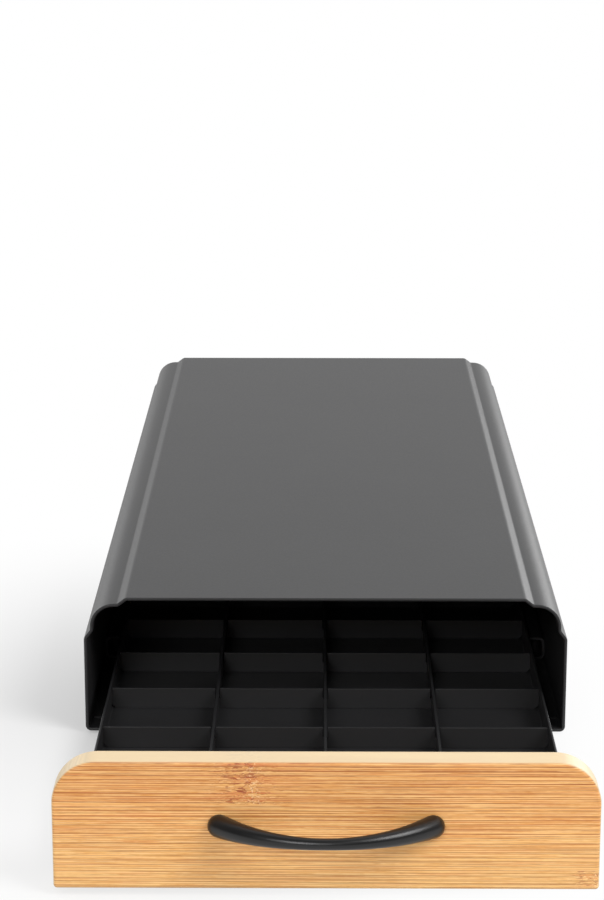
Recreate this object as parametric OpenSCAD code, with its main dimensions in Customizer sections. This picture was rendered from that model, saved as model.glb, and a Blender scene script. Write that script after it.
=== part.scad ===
// Coffee pod drawer: a folded steel housing that a coffee machine stands on,
// and a shallow steel tray that slides out of it, with a divider grid, a wooden
// front and a bow handle. Millimetres, +Z up, the drawer opens towards -Y.
// The origin is the centre of the footprint, on the table.

/* [Pod cells] */
// Diameter of a pod's rim
pod_rim_d = 37; // [32:0.5:45]
// Play of the rim in its cell
pod_play = 1.7; // [0.8:0.1:3]
// Cells across the drawer
columns = 4; // [2:1:5]
// Cells along the drawer
rows = 9; // [5:1:11]
// Extra depth of the front row, for fingers and screw heads
front_row_extra = 24.5; // [6:0.5:40]

/* [Divider grid] */
// Thickness of a divider strip
divider_t = 1; // [0.8:0.1:1.6]
// Height of the divider strips
divider_h = 7.7; // [7:0.1:9]
// Gap beside a strip where it crosses another
notch_gap = 0.4; // [0.1:0.05:0.6]
// Height of the tabs at the ends of a strip
tab_h = 4; // [2:0.5:4.5]
// Gap round a tab in its slot
tab_gap = 0.1; // [0.05:0.05:0.3]

/* [Drawer tray] */
// Thickness of the tray's sheet
tray_t = 0.8; // [0.6:0.1:1.2]
// Height of the tray's walls, from its underside
tray_wall_h = 9.7; // [9:0.1:11]
// Outer radius of the tray's long bends
tray_bend_r = 1.4; // [1.3:0.1:2]

/* [Drawer front] */
// Thickness of the wooden front
front_t = 10; // [8:0.5:18]
// Gap between the front and each side of the mouth
front_side_gap = 1.4; // [0.8:0.1:4]
// Gap between the front and the flanges under it
front_under_gap = 0.3; // [0.2:0.1:1]
// Gap between the front and the roof
front_top_gap = 6.1; // [3:0.1:10]
// Radius of the front's upper corners
front_corner_r = 14; // [10:0.5:20]
// Radius of the front's lower corners
front_foot_r = 1.2; // [0.5:0.1:3]

/* [Handle] */
// Distance between the handle's two screws
handle_pitch = 66; // [40:1:110]
// Diameter of the handle's feet
handle_foot_d = 7.3; // [7:0.1:12]
// Diameter at the middle of the bow
handle_mid_d = 3.6; // [2.5:0.1:7]
// How far the handle stands out from the front
handle_reach = 16.2; // [13:0.1:30]
// How far the handle sits above the middle of the front
handle_rise = 0.3; // [0:0.1:3]

/* [Housing] */
// Height of the housing without its feet
housing_h = 51; // [47:0.5:75]
// Thickness of the housing's sheet
housing_t = 1.2; // [0.8:0.1:1.6]
// Room between the tray and each side wall
side_room = 6.6; // [6:0.1:12]
// Radius of the quarter round on each shoulder
shoulder_r = 10; // [8:0.5:14]
// Depth of the step on each side of the quarter round
shoulder_step = 2.3; // [1.5:0.1:4]
// Length of the ramp down each step
shoulder_ramp = 3; // [2:0.1:5]
// Outer radius of the bottom bends
bottom_bend_r = 2; // [1.8:0.1:3]
// Width of the flanges that turn in under the housing
flange_w = 20; // [19:0.5:30]
// Thickness of the base plate
base_t = 0.6; // [0.5:0.1:1.5]
// Thickness of the rear panel
rear_t = 1.2; // [0.8:0.1:2]
// Room between the closed tray and the rear panel
rear_room = 4.4; // [2:0.1:6]

/* [Slides] */
// Running gap between sliding pieces
slide_gap = 0.3; // [0.2:0.05:0.5]
// Thickness of the rails' sheet
rail_t = 1; // [0.8:0.1:1.2]
// Height of a rail
rail_h = 9; // [8:0.1:9.5]
// Gap between the tray and the lips of a rail
lip_gap = 0.9; // [0.5:0.1:1.5]
// Length of a slide shoe
shoe_l = 16; // [10:1:30]
// Thickness of the front glides
glide_h = 0.8; // [0.6:0.1:1.5]
// Diameter of the front glides
glide_d = 12; // [9:0.5:13]
// Diameter of the stop pins
stop_pin_d = 3.6; // [3:0.1:3.8]
// Travel of the drawer from closed to the stops
travel = 290; // [250:5:300]
// Length of the rails in front of the stop pins
rail_lead = 6; // [4:0.5:20]
// How far the drawer stands open
open_by = 139.5; // [0:0.5:200]

/* [Feet and bumpers] */
// Height of the rubber feet
foot_h = 1; // [0.8:0.1:6]
// Diameter of the rubber feet
foot_d = 13; // [8:0.5:14]
// Distance of the feet from the ends of the housing
foot_inset = 16; // [10:1:40]
// Diameter of the rear bumpers
bumper_d = 7; // [5:0.5:8]

/* [Screws] */
// Diameter of the handle screws
handle_screw_d = 4; // [3:0.5:4]
// Diameter of the handle screws' heads
handle_screw_head_d = 8; // [7:0.5:9]
// Height of the handle screws' heads
handle_screw_head_h = 2.4; // [1.5:0.1:3]
// Diameter of the washers under the handle screws
washer_d = 10; // [9.5:0.5:14]
// Thickness of the washers
washer_t = 0.8; // [0.5:0.1:1.5]
// Diameter of the screws that hold the front to the tray
front_screw_d = 3; // [2.5:0.1:3.5]
// Diameter of those screws' heads
front_screw_head_d = 6; // [5:0.1:6.5]
// Height of those screws' heads
front_screw_head_h = 1.6; // [1:0.1:2]
// Depth of those screws in the wood
front_screw_bite = 6.5; // [5:0.5:7]

/* [Hidden] */
$fn = 48;
// Clearance of a fixed pin, stem or screw in its hole, on the radius
fit_gap = 0.05;
// Gap between the base plate and the housing's bottom bends
plate_gap = 0.2;
// Steps of a full-size bend, and of a small one
big_steps = 10;
small_steps = 4;
// Sides of the handle's bar, rings along half of it, and rings on each rounded end
handle_sides = 16;
handle_rings = 14;
handle_end_rings = 4;
// Rounding at the ends of the shoulder's ramps
ramp_blend_r = 1.2;

// The tray, seen from above
cell = pod_rim_d + pod_play;
pitch = cell + divider_t;
tray_inner_w = columns * pitch - divider_t;
tray_w = tray_inner_w + 2 * tray_t;
front_cell_l = cell + front_row_extra;
tray_inner_l = front_cell_l + (rows - 1) * pitch;
tray_l = tray_inner_l + 2 * tray_t;

// The housing round the tray; its mouth is at y = 0 before it is set in the frame
housing_w = tray_w + 2 * side_room + 2 * housing_t;
housing_l = front_t + tray_l + rear_room + rear_t;
wall_x = housing_w / 2 - housing_t;
rear_y = housing_l - rear_t;

// Levels, from the table up
flange_z = foot_h + housing_t;
base_z = flange_z + base_t;
tray_z = base_z + glide_h + slide_gap;
floor_z = tray_z + tray_t;
roof_z = foot_h + housing_h - housing_t;

// The wooden front in the mouth
front_w = 2 * (wall_x - front_side_gap);
front_z = flange_z + front_under_gap;
front_h = roof_z - front_top_gap - front_z;
handle_z = front_z + front_h / 2 + handle_rise;

// The rails, and the shoes and stops in them
rail_x = wall_x - rail_t;
rail_bend_r = 2.2;
lip_x = tray_w / 2 + lip_gap;
shoe_w = rail_x - slide_gap - tray_w / 2;
shoe_z = base_z + rail_t + slide_gap;
shoe_h = rail_h - 2 * rail_t - 2 * slide_gap;
shoe_rear_inset = 2.4;
shoe_y = front_t + tray_l - shoe_rear_inset - shoe_l;
shoe_stem_d = 3;
stop_x = (lip_x + rail_x) / 2;
stop_y = shoe_y - travel - stop_pin_d / 2;
rail_front_y = stop_y - stop_pin_d / 2 - rail_lead;

// The front glides, feet and bumpers
glide_x = tray_w / 2 - glide_d / 2 - 2;
glide_y = foot_inset + foot_d / 2 + glide_d / 2 + 2;
glide_stem_d = 4;
glide_lip_d = 5;
glide_lip_h = 0.6;
foot_x = housing_w / 2 - bottom_bend_r - foot_d / 2 - 1.5;
bumper_x = tray_w / 4;

// The frame's origin is the middle of the footprint with the drawer as it stands
mid_y = (housing_l - open_by - handle_reach) / 2;

// ---- Outlines ----

function unit(v) = v / norm(v);
function reversed(p) = [for (i = [len(p) - 1 : -1 : 0]) p[i]];
function turn(a) = a > 180 ? a - 360 : a < -180 ? a + 360 : a;

// The arc of radius r that rounds the corner b between a and c
function bend(a, b, c, r, steps) =
    let (
        u = unit(a - b),
        v = unit(c - b),
        half = acos(u * v) / 2,
        centre = b + unit(u + v) * r / sin(half),
        start = b + u * r / tan(half) - centre,
        end = b + v * r / tan(half) - centre,
        from = atan2(start[1], start[0]),
        sweep = turn(atan2(end[1], end[0]) - from)
    )
    [for (k = [0 : steps]) centre + r * [cos(from + sweep * k / steps), sin(from + sweep * k / steps)]];

// A path of corners [x, y, radius, steps], with each inner corner bent
function bent_path(p) = [
    for (i = [0 : len(p) - 1])
        let (b = [p[i][0], p[i][1]])
        each (i == 0 || i == len(p) - 1) ? [b]
            : bend([p[i - 1][0], p[i - 1][1]], b, [p[i + 1][0], p[i + 1][1]], p[i][2], p[i][3])
];

// The path moved to its left by t, with mitred corners
function left_of(a, b) = let (d = unit(b - a)) [-d[1], d[0]];
function offset_path(p, t) = [
    for (i = [0 : len(p) - 1])
        let (
            n0 = i > 0 ? left_of(p[i - 1], p[i]) : left_of(p[0], p[1]),
            n1 = i < len(p) - 1 ? left_of(p[i], p[i + 1]) : n0,
            n = unit(n0 + n1)
        )
        p[i] + n * t / (n * n0)
];

// The section of a sheet of thickness t folded along a path, on its left side
module folded(p, t) {
    polygon(concat(p, reversed(offset_path(p, t))));
}

// The right half of the housing's outline, from the flange's edge up to the roof
function housing_half() = let (
        half = housing_w / 2,
        top = housing_h,
        in = shoulder_step,
        ramp = shoulder_step + shoulder_r + shoulder_ramp
    ) [
        [half - flange_w, 0, 0, 0],
        [half, 0, bottom_bend_r, big_steps],
        [half, top - ramp, ramp_blend_r + housing_t, small_steps],
        [half - in, top - in - shoulder_r, ramp_blend_r, small_steps],
        [half - in, top - in, shoulder_r - ramp_blend_r, big_steps],
        [half - in - shoulder_r, top - in, ramp_blend_r, small_steps],
        [half - ramp, top, ramp_blend_r + housing_t, small_steps]
    ];
housing_path = let (half = housing_half())
    bent_path(concat(half, [for (q = reversed(half)) [-q[0], q[1], q[2], q[3]]]));
housing_inside = offset_path(housing_path, housing_t);

// ---- Placing ----

// The part's frame: everything is drawn with the housing's mouth at y = 0
module in_frame() {
    translate([0, -mid_y, 0]) children();
}

// The drawer is drawn closed and stands open
module drawn_out() {
    translate([0, -open_by, 0]) children();
}

// An outline in X and Z, extruded from y for a length
module along_y(y, length) {
    translate([0, y + length, 0]) rotate([90, 0, 0]) linear_extrude(length) children();
}

// A round bar along Y
module bar_y(d, x, y, z, length) {
    translate([x, y, z]) rotate([-90, 0, 0]) cylinder(d = d, h = length);
}

// The right-hand piece as drawn for side 1, its mirror image for side -1
module on_side(side) {
    mirror([side < 0 ? 1 : 0, 0, 0]) children();
}

module block(low, high) {
    translate(low) cube(high - low);
}

// ---- Housing ----

module housing_shell() {
    color("#3c3d3f")
        difference() {
            along_y(0, housing_l)
                translate([0, foot_h]) folded(housing_path, housing_t);
            for (side = [-1, 1])
                translate([side * glide_x, glide_y, 0])
                    cylinder(d = glide_stem_d + 2 * fit_gap, h = base_z + 1);
        }
}

// Closes the rear of the housing, welded inside it
module rear_panel() {
    inset = offset_path(housing_inside, fit_gap);
    color("#333436")
        along_y(rear_y, rear_t)
            translate([0, foot_h])
                intersection() {
                    polygon(inset);
                    translate([-housing_w / 2, housing_t]) square([housing_w, housing_h]);
                }
}

// Lies on the flanges and ties them together, from behind the closed front to the rear
module base_plate() {
    half = housing_w / 2 - bottom_bend_r - plate_gap;
    color("#2c2d2f")
        difference() {
            block([-half, front_t + slide_gap, flange_z], [half, rear_y, base_z]);
            for (side = [-1, 1])
                translate([side * glide_x, glide_y, foot_h])
                    cylinder(d = glide_stem_d + 2 * fit_gap, h = base_z);
        }
}

// Channel that guides the rear of the drawer and keeps it from tipping
module rail(side) {
    corner_r = rail_bend_r;
    path = bent_path([
        [lip_x, base_z, 0, 0],
        [wall_x, base_z, corner_r, small_steps],
        [wall_x, base_z + rail_h, corner_r, small_steps],
        [lip_x, base_z + rail_h, 0, 0]
    ]);
    color("#2b2c2e")
        on_side(side)
            difference() {
                along_y(rail_front_y, rear_y - rail_front_y) folded(path, rail_t);
                translate([stop_x, stop_y, 0])
                    cylinder(d = stop_pin_d + 2 * fit_gap, h = base_z + rail_h + 1);
            }
}

// Dropped through both lips of the rail, it stops the shoe
module stop_pin(side) {
    color("#2b2c2e")
        on_side(side)
            translate([stop_x, stop_y, base_z])
                cylinder(d = stop_pin_d, h = rail_h);
}

// Snap-in glide under the front of the tray
module front_glide(side) {
    color("#d8d8d2")
        on_side(side)
            translate([glide_x, glide_y, 0]) {
                translate([0, 0, base_z]) cylinder(d = glide_d, h = glide_h);
                translate([0, 0, foot_h - glide_lip_h]) cylinder(d = glide_stem_d, h = base_z - foot_h + glide_lip_h);
                translate([0, 0, foot_h - glide_lip_h]) cylinder(d = glide_lip_d, h = glide_lip_h);
            }
}

// Rubber bumper on the rear panel, where the tray closes
module rear_bumper(side) {
    length = rear_room - slide_gap;
    color("#1d1d1e")
        bar_y(bumper_d, side * bumper_x, rear_y - length, tray_z + tray_wall_h / 2, length);
}

module foot(side, rear) {
    y = rear ? housing_l - foot_inset : foot_inset;
    color("#1a1a1b")
        translate([side * foot_x, y, 0])
            rotate_extrude()
                polygon([[0, 0], [foot_d / 2 - 0.6, 0], [foot_d / 2, 0.6], [foot_d / 2, foot_h], [0, foot_h]]);
}

// ---- Drawer ----

// Where divider i stands, at its middle
function long_x(i) = -tray_inner_w / 2 + i * pitch - divider_t / 2;
function cross_y(i) = front_t + tray_t + front_cell_l + (i - 1) * pitch + divider_t / 2;
// One screw in the middle of each cell of the front row
function front_screw_x(i) = long_x(i) + pitch / 2;

tab_z = floor_z + (divider_h - tab_h) / 2;
front_screw_z = tray_z + tray_wall_h / 2 + 0.6;

// A channel's section: a floor between two walls of the tray, as wide as given outside
module tray_section(width) {
    half = width / 2;
    folded(bent_path([
        [-half, tray_wall_h, 0, 0], [-half, 0, tray_bend_r, small_steps],
        [half, 0, tray_bend_r, small_steps], [half, tray_wall_h, 0, 0]
    ]), tray_t);
}

// One sheet folded up on four sides, with a relief at each corner's bends, and welded above
module drawer_tray() {
    half = tray_w / 2;
    inner_half = tray_inner_w / 2;
    rear_end = front_t + tray_l;
    bend_z = tray_z + tray_bend_r;
    top_z = tray_z + tray_wall_h;
    slot_w = divider_t + 2 * tab_gap;
    slot_h = tab_h + 2 * tab_gap;
    color("#242527")
        difference() {
            union() {
                along_y(front_t + tray_bend_r, tray_l - 2 * tray_bend_r)
                    translate([0, tray_z]) tray_section(tray_w);
                translate([tray_bend_r - half, front_t + tray_l / 2, tray_z])
                    rotate([90, 0, 90]) linear_extrude(tray_w - 2 * tray_bend_r) tray_section(tray_l);
                for (x = [-half, inner_half])
                    block([x, front_t, bend_z], [x + tray_t, rear_end, top_z]);
                for (y = [front_t, rear_end - tray_t])
                    block([-inner_half - tray_t / 2, y, bend_z], [inner_half + tray_t / 2, y + tray_t, top_z]);
            }
            for (i = [1 : columns - 1])
                block([long_x(i) - slot_w / 2, front_t - 1, tab_z - tab_gap],
                      [long_x(i) + slot_w / 2, rear_end + 1, tab_z - tab_gap + slot_h]);
            for (i = [1 : rows - 1])
                block([-half - 1, cross_y(i) - slot_w / 2, tab_z - tab_gap],
                      [half + 1, cross_y(i) + slot_w / 2, tab_z - tab_gap + slot_h]);
            for (i = [0 : columns - 1])
                bar_y(front_screw_d + 0.4, front_screw_x(i), front_t - 1, front_screw_z, tray_t + 2);
            for (side = [-1, 1])
                on_side(side)
                    translate([inner_half - 1, shoe_y + shoe_l / 2, shoe_z + shoe_h / 2])
                        rotate([0, 90, 0]) cylinder(d = shoe_stem_d + 2 * fit_gap, h = tray_t + 2);
        }
}

// A divider's outline between two walls, clear of the bends at their feet
module eased_strip(low, high) {
    ease = tray_bend_r;
    top = floor_z + divider_h;
    polygon([[low + ease, floor_z], [high - ease, floor_z], [high, floor_z + ease], [high, top],
             [low, top], [low, floor_z + ease]]);
}

// Strip across the drawer, notched from above for the long dividers
module cross_divider(i) {
    half = tray_inner_w / 2;
    notch = divider_t + 2 * notch_gap;
    color("#2a2b2d")
        along_y(cross_y(i) - divider_t / 2, divider_t)
            difference() {
                union() {
                    eased_strip(-half, half);
                    translate([-tray_w / 2, tab_z]) square([tray_w, tab_h]);
                }
                for (k = [1 : columns - 1])
                    translate([long_x(k) - notch / 2, floor_z + divider_h / 2])
                        square([notch, divider_h]);
            }
}

// Strip along the drawer, notched from below for the cross dividers
module long_divider(i) {
    low_y = front_t + tray_t;
    high_y = low_y + tray_inner_l;
    notch = divider_t + 2 * notch_gap;
    color("#2a2b2d")
        translate([long_x(i) - divider_t / 2, 0, 0])
            rotate([90, 0, 90])
                linear_extrude(divider_t)
                    difference() {
                        union() {
                            eased_strip(low_y, high_y);
                            translate([low_y - tray_t, tab_z]) square([tray_l, tab_h]);
                        }
                        for (k = [1 : rows - 1])
                            translate([cross_y(k) - notch / 2, floor_z - 1])
                                square([notch, divider_h / 2 + 1]);
                    }
}

// A block from the corner [x, y] that is wide and long, with its two outer corners cut off
module eased_block(x, y, width, length, ease) {
    polygon([[x, y], [x + width - ease, y], [x + width, y + ease],
             [x + width, y + length - ease], [x + width - ease, y + length], [x, y + length]]);
}

// Nylon shoe on the tray's rear corner, which runs in the rail
module slide_shoe(side) {
    ease = 1.1;
    x = tray_w / 2;
    color("#d8d8d2")
        on_side(side) {
            intersection() {
                translate([0, 0, shoe_z]) linear_extrude(shoe_h) eased_block(x, shoe_y, shoe_w, shoe_l, ease);
                along_y(shoe_y, shoe_l) eased_block(x, shoe_z, shoe_w, shoe_h, ease);
            }
            translate([tray_inner_w / 2, shoe_y + shoe_l / 2, shoe_z + shoe_h / 2])
                rotate([0, 90, 0]) cylinder(d = shoe_stem_d, h = tray_t);
        }
}

// Wooden front, drilled for the handle and, from behind, for the tray's screws
module drawer_front() {
    half = front_w / 2;
    outline = bent_path([
        [0, front_z, 0, 0],
        [half, front_z, front_foot_r, small_steps],
        [half, front_z + front_h, front_corner_r, big_steps],
        [-half, front_z + front_h, front_corner_r, big_steps],
        [-half, front_z, front_foot_r, small_steps],
        [0, front_z, 0, 0]
    ]);
    color("#dba262")
        difference() {
            along_y(0, front_t) polygon(outline);
            for (side = [-1, 1])
                bar_y(handle_screw_d + 0.4, side * handle_pitch / 2, -1, handle_z, front_t + 2);
            for (i = [0 : columns - 1])
                bar_y(front_screw_d + 2 * fit_gap, front_screw_x(i), front_t - front_screw_bite - 0.3,
                      front_screw_z, front_screw_bite + 1);
        }
}

// A screw along Y with a domed head at its rear end
module screw(d, head_d, head_h, x, y_tip, y_head, z) {
    bar_y(d, x, y_tip, z, y_head - y_tip);
    translate([x, y_head, z])
        rotate([-90, 0, 0])
            rotate_extrude()
                polygon([[0, 0], [head_d / 2, 0], [head_d / 2, head_h * 0.45],
                         [head_d * 0.4, head_h * 0.85], [head_d * 0.22, head_h], [0, head_h]]);
}

module front_screws() {
    color("#b9bbbd")
        for (i = [0 : columns - 1])
            screw(front_screw_d, front_screw_head_d, front_screw_head_h, front_screw_x(i),
                  front_t - front_screw_bite, front_t + tray_t, front_screw_z);
}

// ---- Handle ----

// The bar's middle is an arc, which ends just in front of the wood
handle_seat = 0.6;
handle_depth = handle_reach - handle_mid_d / 2 - handle_seat;
handle_hole_l = 2.6;
bow_r = (pow(handle_pitch / 2, 2) + pow(handle_depth, 2)) / (2 * handle_depth);
bow_half_a = atan2(handle_pitch / 2, bow_r - handle_depth);

// The bow's centre line, and its diameter there, for an angle from the middle of the arc
function bow_at(a) = [bow_r * sin(a), -handle_seat - handle_depth + bow_r * (1 - cos(a)), 0];
function bow_d(a) = handle_mid_d + (handle_foot_d - handle_mid_d) * pow(abs(sin(a) / sin(bow_half_a)), 1.75);
function bow_ahead(a) = [cos(a), sin(a), 0];

// Rings of the bar as [centre, direction, diameter], with a ball at each end
function end_ring(side, lean) = [
    bow_at(side * bow_half_a) + side * sin(lean) * handle_foot_d / 2 * bow_ahead(side * bow_half_a),
    bow_ahead(side * bow_half_a),
    handle_foot_d * cos(lean)
];
end_leans = [for (k = [1 : handle_end_rings]) 75 * k / handle_end_rings];
bow_rings = concat(
    [for (lean = reversed(end_leans)) end_ring(-1, lean)],
    [for (i = [-handle_rings : handle_rings])
        let (a = bow_half_a * i / handle_rings) [bow_at(a), bow_ahead(a), bow_d(a)]],
    [for (lean = end_leans) end_ring(1, lean)]
);

// Bow handle, tapered towards the middle, with round ends cut flat where they meet the wood
module handle() {
    last = len(bow_rings) - 1;
    points = [
        for (ring = bow_rings)
            let (across = [-ring[1][1], ring[1][0], 0])
            for (k = [0 : handle_sides - 1])
                let (a = 360 * k / handle_sides)
                ring[0] + ring[2] / 2 * (cos(a) * across + sin(a) * [0, 0, 1])
    ];
    sides = [
        for (i = [0 : last - 1])
            for (k = [0 : handle_sides - 1])
                let (n = (k + 1) % handle_sides, a = i * handle_sides, b = a + handle_sides)
                each [[a + k, b + k, b + n], [a + k, b + n, a + n]]
    ];
    start_cap = [[for (k = [0 : handle_sides - 1]) k]];
    end_cap = [[for (k = [handle_sides - 1 : -1 : 0]) last * handle_sides + k]];
    reach_x = handle_pitch / 2 + handle_foot_d;
    color("#1b1b1c")
        difference() {
            translate([0, 0, handle_z]) polyhedron(points, concat(sides, start_cap, end_cap));
            block([-reach_x, 0, handle_z - handle_foot_d], [reach_x, handle_foot_d, handle_z + handle_foot_d]);
            for (side = [-1, 1])
                bar_y(handle_screw_d + 2 * fit_gap, side * handle_pitch / 2, -handle_hole_l, handle_z,
                      handle_hole_l + 1);
        }
}

module handle_screws() {
    color("#b9bbbd")
        for (side = [-1, 1])
            screw(handle_screw_d, handle_screw_head_d, handle_screw_head_h, side * handle_pitch / 2,
                  0.2 - handle_hole_l, front_t + washer_t, handle_z);
}

module handle_washers() {
    color("#c4c6c8")
        for (side = [-1, 1])
            difference() {
                bar_y(washer_d, side * handle_pitch / 2, front_t, handle_z, washer_t);
                bar_y(handle_screw_d + 0.4, side * handle_pitch / 2, front_t - 1, handle_z, washer_t + 2);
            }
}

// ---- Assembly ----

in_frame() housing_shell();
in_frame() rear_panel();
in_frame() base_plate();
in_frame() rail(-1);  // rail_left
in_frame() rail(1);  // rail_right
in_frame() stop_pin(-1);  // stop_pin_left
in_frame() stop_pin(1);  // stop_pin_right
in_frame() front_glide(-1);  // front_glide_left
in_frame() front_glide(1);  // front_glide_right
in_frame() rear_bumper(-1);  // rear_bumper_left
in_frame() rear_bumper(1);  // rear_bumper_right
in_frame() foot(-1, false);  // foot_front_left
in_frame() foot(1, false);  // foot_front_right
in_frame() foot(-1, true);  // foot_rear_left
in_frame() foot(1, true);  // foot_rear_right
in_frame() drawn_out() drawer_tray();
in_frame() drawn_out() slide_shoe(-1);  // slide_shoe_left
in_frame() drawn_out() slide_shoe(1);  // slide_shoe_right
in_frame() drawn_out() drawer_front();
in_frame() drawn_out() front_screws();
in_frame() drawn_out() handle();
in_frame() drawn_out() handle_screws();
in_frame() drawn_out() handle_washers();
for (i = [1 : columns - 1])
    in_frame() drawn_out() long_divider(i);
for (i = [1 : rows - 1])
    in_frame() drawn_out() cross_divider(i);
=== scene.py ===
"""Coffee pod drawer: a folded steel housing, and a tray on slides with a bamboo front."""
import math

import bmesh
import bpy
from mathutils import Matrix, Vector


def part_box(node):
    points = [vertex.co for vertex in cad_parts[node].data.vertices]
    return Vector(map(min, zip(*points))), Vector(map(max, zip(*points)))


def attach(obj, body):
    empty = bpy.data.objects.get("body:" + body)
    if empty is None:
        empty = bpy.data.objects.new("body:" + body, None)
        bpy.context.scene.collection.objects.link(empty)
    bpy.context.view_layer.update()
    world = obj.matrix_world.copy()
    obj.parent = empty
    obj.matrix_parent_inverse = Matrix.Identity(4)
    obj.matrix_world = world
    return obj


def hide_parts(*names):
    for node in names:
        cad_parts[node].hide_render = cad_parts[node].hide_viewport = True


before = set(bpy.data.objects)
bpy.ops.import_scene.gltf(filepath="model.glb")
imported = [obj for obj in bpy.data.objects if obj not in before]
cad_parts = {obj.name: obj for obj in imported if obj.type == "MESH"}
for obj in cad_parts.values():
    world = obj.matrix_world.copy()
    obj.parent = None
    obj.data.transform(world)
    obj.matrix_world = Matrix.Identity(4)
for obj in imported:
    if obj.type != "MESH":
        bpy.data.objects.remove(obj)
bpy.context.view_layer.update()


# ---- Housing shell ----
# One sheet of 1.2 mm steel, bent on a press brake: a flat top, a stepped quarter round on each
# shoulder, upright sides, and flanges that turn in underneath. It is powder coated all over.

MM = 0.001
shell_low, shell_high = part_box("housing_shell")
shell_half_w = shell_high.x
shell_h = shell_high.z - shell_low.z
shell_t = 1.2 * MM
flange_w = 20 * MM
shoulder_r = 10 * MM
shoulder_step = 2.3 * MM
shoulder_ramp = 3 * MM
ramp_blend_r = 1.2 * MM
bottom_bend_r = 2 * MM
cut_edge_r = 0.5 * MM


def node(tree, kind, inputs=None, **settings):
    """Adds a node. Inputs are values, sockets, or nodes whose first live output feeds them."""
    new = tree.nodes.new(kind)
    for name, value in settings.items():
        setattr(new, name, value)
    for name, value in (inputs or {}).items():
        if isinstance(value, bpy.types.Node):
            value = next(socket for socket in value.outputs if socket.enabled)
        if isinstance(value, bpy.types.NodeSocket):
            tree.links.new(value, new.inputs[name])
        else:
            new.inputs[name].default_value = value
    return new


def new_tree(name, **inputs):
    """A geometry tree that takes the geometry and the named inputs, and gives a geometry."""
    tree = bpy.data.node_groups.new(name, "GeometryNodeTree")
    tree.interface.new_socket("Geometry", in_out="INPUT", socket_type="NodeSocketGeometry")
    for label, kind in inputs.items():
        tree.interface.new_socket(label, in_out="INPUT", socket_type="NodeSocket" + kind)
    tree.interface.new_socket("Geometry", in_out="OUTPUT", socket_type="NodeSocketGeometry")
    return tree, node(tree, "NodeGroupInput").outputs


def end_tree(tree, geometry, material):
    """Ends a geometry tree: its instances become real, and all of it gets the material."""
    real = node(tree, "GeometryNodeRealizeInstances", {"Geometry": geometry})
    finished = node(tree, "GeometryNodeSetMaterial", {"Geometry": real, "Material": material})
    node(tree, "NodeGroupOutput", {"Geometry": finished})


def add_object(name, mesh):
    piece = bpy.data.objects.new(name, mesh)
    bpy.context.scene.collection.objects.link(piece)
    return piece


def apply_tree(piece, tree, **values):
    """Runs a geometry tree on the piece with these inputs."""
    modifier = piece.modifiers.new(tree.name, "NODES")
    modifier.node_group = tree
    for item in tree.interface.items_tree:
        if item.in_out == "INPUT" and item.name in values:
            modifier[item.identifier] = values[item.name]


def settle(piece, material=None):
    """Replaces the piece by the plain mesh that its modifiers give, clean and facing outwards."""
    bpy.context.view_layer.update()
    evaluated = piece.evaluated_get(bpy.context.evaluated_depsgraph_get())
    mesh = bpy.data.meshes.new_from_object(evaluated)
    mesh.name = piece.name
    piece.modifiers.clear()
    piece.data = mesh
    shape = bmesh.new()
    shape.from_mesh(mesh)
    bmesh.ops.remove_doubles(shape, verts=shape.verts, dist=0.002 * MM)
    bmesh.ops.recalc_face_normals(shape, faces=shape.faces)
    shape.to_mesh(mesh)
    shape.free()
    if material:
        mesh.materials.clear()
        mesh.materials.append(material)
    return piece


def ease_edges(piece, radius, segments=2, angle=40):
    """Rounds the cut edges of a sheet or board, and shades the flats as flat."""
    bevel = piece.modifiers.new("eased edges", "BEVEL")
    bevel.width = radius
    bevel.segments = segments
    bevel.limit_method = "ANGLE"
    bevel.angle_limit = math.radians(angle)
    bevel.use_clamp_overlap = True
    piece.data.polygons.foreach_set("use_smooth", [True] * len(piece.data.polygons))
    normals = piece.modifiers.new("flat faces", "WEIGHTED_NORMAL")
    normals.weight = 80


def wire(name, corners):
    """A chain of corners (x, z, bend radius) in the plane y = 0."""
    mesh = bpy.data.meshes.new(name)
    links = [(i, i + 1) for i in range(len(corners) - 1)]
    mesh.from_pydata([(x, 0, z) for x, z, r in corners], links, [])
    radii = mesh.attributes.new("bend_radius", "FLOAT", "POINT")
    radii.data.foreach_set("value", [r for x, z, r in corners])
    return add_object(name, mesh)


bent_sheet, given = new_tree(
    "bent sheet", Steps="Int", Start="Float", Length="Float", Material="Material"
)
chain = node(bent_sheet, "GeometryNodeMeshToCurve", {"Mesh": given["Geometry"]})
bend_radius = node(bent_sheet, "GeometryNodeInputNamedAttribute", {"Name": "bend_radius"})
bends = node(
    bent_sheet,
    "GeometryNodeFilletCurve",
    {"Curve": chain, "Count": given["Steps"], "Radius": bend_radius},
    mode="POLY",
)
outline = node(bent_sheet, "GeometryNodeCurveToMesh", {"Curve": bends})
along = node(bent_sheet, "ShaderNodeCombineXYZ", {"Y": given["Length"]})
sheet = node(
    bent_sheet,
    "GeometryNodeExtrudeMesh",
    {"Mesh": outline, "Offset": along, "Offset Scale": 1.0},
    mode="EDGES",
)
start = node(bent_sheet, "ShaderNodeCombineXYZ", {"Y": given["Start"]})
placed = node(bent_sheet, "GeometryNodeTransform", {"Geometry": sheet, "Translation": start})
end_tree(bent_sheet, placed, given["Material"])


def linear(hex_colour):
    """An sRGB hex colour as a linear RGBA."""
    parts = [int(hex_colour[i : i + 2], 16) / 255 for i in (1, 3, 5)]
    return [c / 12.92 if c <= 0.04045 else ((c + 0.055) / 1.055) ** 2.4 for c in parts] + [1]


def new_material(name, **surface):
    """A material with a Principled surface whose sockets are set by name."""
    material = bpy.data.materials.new(name)
    material.use_nodes = True
    shader = material.node_tree.nodes["Principled BSDF"]
    for label, value in surface.items():
        shader.inputs[label.replace("_", " ")].default_value = value
    return material, material.node_tree, shader


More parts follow.
